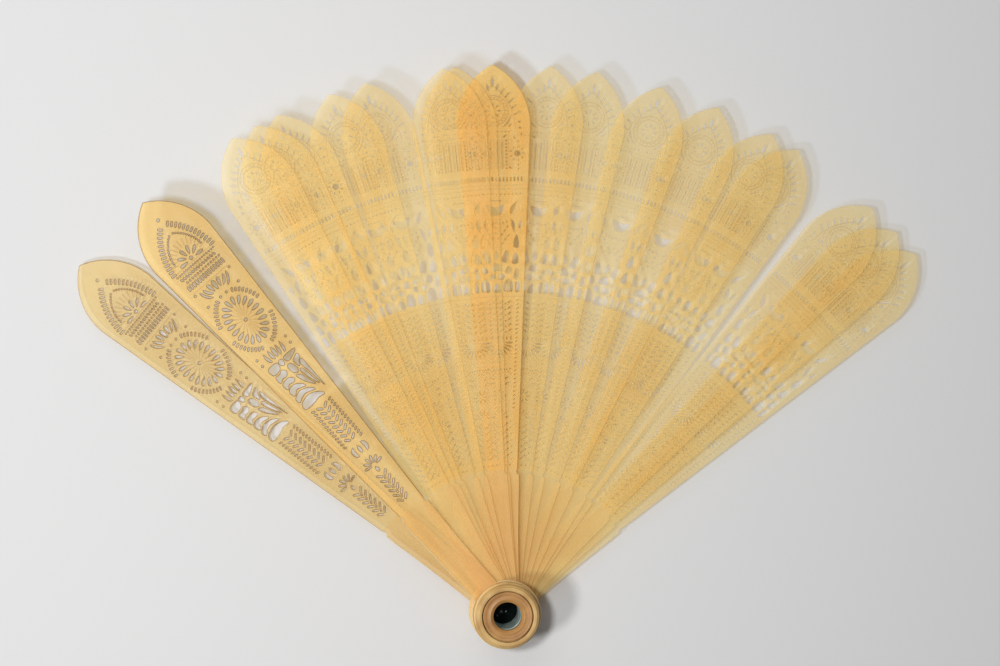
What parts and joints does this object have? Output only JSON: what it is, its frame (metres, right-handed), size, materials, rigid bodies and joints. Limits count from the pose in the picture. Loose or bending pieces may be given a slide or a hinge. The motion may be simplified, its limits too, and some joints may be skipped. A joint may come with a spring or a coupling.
{
  "type": "brise fan",
  "caption": "Folding brise fan: thin pierced horn sticks between stouter guards turn on a hollow turned pivot that doubles as a small spyglass.",
  "frame": {"origin": "on the pivot's axis at the rear collar's flat face, just behind the eyepiece lens's flat face", "axes": "+Z along the pivot from the eyepiece to the objective, +X to the right of the picture's view, across the spread sticks, +Y from the pivot up through the middle of the spread"},
  "size_m": [0.2386, 0.1648, 0.0205],
  "materials": {
    "stick_horn": "pale translucent horn, polished",
    "guard_horn": "amber translucent horn, polished",
    "collar_horn": "turned horn, satin",
    "ring_horn": "turned horn, polished",
    "lens_glass": "clear optical glass"
  },
  "bodies": {
    "pivot": {"pivot_barrel": "ring_horn", "rear_collar": "collar_horn", "front_collar": "collar_horn", "eyepiece_ring": "ring_horn", "eyepiece_lens": "lens_glass", "objective_lens": "lens_glass", "objective_ring": "ring_horn", "front_guard": "guard_horn"},
    "back_guard": {"back_guard": "guard_horn"},
    "stick_01": {"stick_01": "stick_horn"},
    "stick_02": {"stick_02": "stick_horn"},
    "stick_03": {"stick_03": "stick_horn"},
    "stick_04": {"stick_04": "stick_horn"},
    "stick_05": {"stick_05": "stick_horn"},
    "stick_06": {"stick_06": "stick_horn"},
    "stick_07": {"stick_07": "stick_horn"},
    "stick_08": {"stick_08": "stick_horn"},
    "stick_09": {"stick_09": "stick_horn"},
    "stick_10": {"stick_10": "stick_horn"},
    "stick_11": {"stick_11": "stick_horn"},
    "stick_12": {"stick_12": "stick_horn"},
    "stick_13": {"stick_13": "stick_horn"},
    "stick_14": {"stick_14": "stick_horn"},
    "stick_15": {"stick_15": "stick_horn"},
    "stick_16": {"stick_16": "stick_horn"},
    "stick_17": {"stick_17": "stick_horn"},
    "stick_18": {"stick_18": "stick_horn"},
    "stick_19": {"stick_19": "stick_horn"}
  },
  "joints": [
    {"name": "back_guard_turn", "type": "hinge", "parent": "pivot", "child": "back_guard", "pos_m": [0, 0, 0], "axis": [0, 0, 1], "range_deg": [-157.4, 0]},
    {"name": "stick_01_turn", "type": "hinge", "parent": "pivot", "child": "stick_01", "pos_m": [0, 0, 0], "axis": [0, 0, 1], "range_deg": [-49.9, 90.7]},
    {"name": "stick_02_turn", "type": "hinge", "parent": "pivot", "child": "stick_02", "pos_m": [0, 0, 0], "axis": [0, 0, 1], "range_deg": [-45.7, 87.5]},
    {"name": "stick_03_turn", "type": "hinge", "parent": "pivot", "child": "stick_03", "pos_m": [0, 0, 0], "axis": [0, 0, 1], "range_deg": [-42, 83.8]},
    {"name": "stick_04_turn", "type": "hinge", "parent": "pivot", "child": "stick_04", "pos_m": [0, 0, 0], "axis": [0, 0, 1], "range_deg": [-44.6, 73.8]},
    {"name": "stick_05_turn", "type": "hinge", "parent": "pivot", "child": "stick_05", "pos_m": [0, 0, 0], "axis": [0, 0, 1], "range_deg": [-40.4, 70.6]},
    {"name": "stick_06_turn", "type": "hinge", "parent": "pivot", "child": "stick_06", "pos_m": [0, 0, 0], "axis": [0, 0, 1], "range_deg": [-39.4, 64.2]},
    {"name": "stick_07_turn", "type": "hinge", "parent": "pivot", "child": "stick_07", "pos_m": [0, 0, 0], "axis": [0, 0, 1], "range_deg": [-38.3, 57.9]},
    {"name": "stick_08_turn", "type": "hinge", "parent": "pivot", "child": "stick_08", "pos_m": [0, 0, 0], "axis": [0, 0, 1], "range_deg": [-37.9, 50.9]},
    {"name": "stick_09_turn", "type": "hinge", "parent": "pivot", "child": "stick_09", "pos_m": [0, 0, 0], "axis": [0, 0, 1], "range_deg": [-35.4, 46]},
    {"name": "stick_10_turn", "type": "hinge", "parent": "pivot", "child": "stick_10", "pos_m": [0, 0, 0], "axis": [0, 0, 1], "range_deg": [-34.1, 39.9]},
    {"name": "stick_11_turn", "type": "hinge", "parent": "pivot", "child": "stick_11", "pos_m": [0, 0, 0], "axis": [0, 0, 1], "range_deg": [-26.8, 39.8]},
    {"name": "stick_12_turn", "type": "hinge", "parent": "pivot", "child": "stick_12", "pos_m": [0, 0, 0], "axis": [0, 0, 1], "range_deg": [-19.5, 39.7]},
    {"name": "stick_13_turn", "type": "hinge", "parent": "pivot", "child": "stick_13", "pos_m": [0, 0, 0], "axis": [0, 0, 1], "range_deg": [-16, 35.8]},
    {"name": "stick_14_turn", "type": "hinge", "parent": "pivot", "child": "stick_14", "pos_m": [0, 0, 0], "axis": [0, 0, 1], "range_deg": [-9.8, 34.6]},
    {"name": "stick_15_turn", "type": "hinge", "parent": "pivot", "child": "stick_15", "pos_m": [0, 0, 0], "axis": [0, 0, 1], "range_deg": [-10.7, 26.3]},
    {"name": "stick_16_turn", "type": "hinge", "parent": "pivot", "child": "stick_16", "pos_m": [0, 0, 0], "axis": [0, 0, 1], "range_deg": [-7.1, 22.5]},
    {"name": "stick_17_turn", "type": "hinge", "parent": "pivot", "child": "stick_17", "pos_m": [0, 0, 0], "axis": [0, 0, 1], "range_deg": [-5.6, 16.6]},
    {"name": "stick_18_turn", "type": "hinge", "parent": "pivot", "child": "stick_18", "pos_m": [0, 0, 0], "axis": [0, 0, 1], "range_deg": [-0.7, 14.1]},
    {"name": "stick_19_turn", "type": "hinge", "parent": "pivot", "child": "stick_19", "pos_m": [0, 0, 0], "axis": [0, 0, 1], "range_deg": [0, 11.4]}
  ]
}
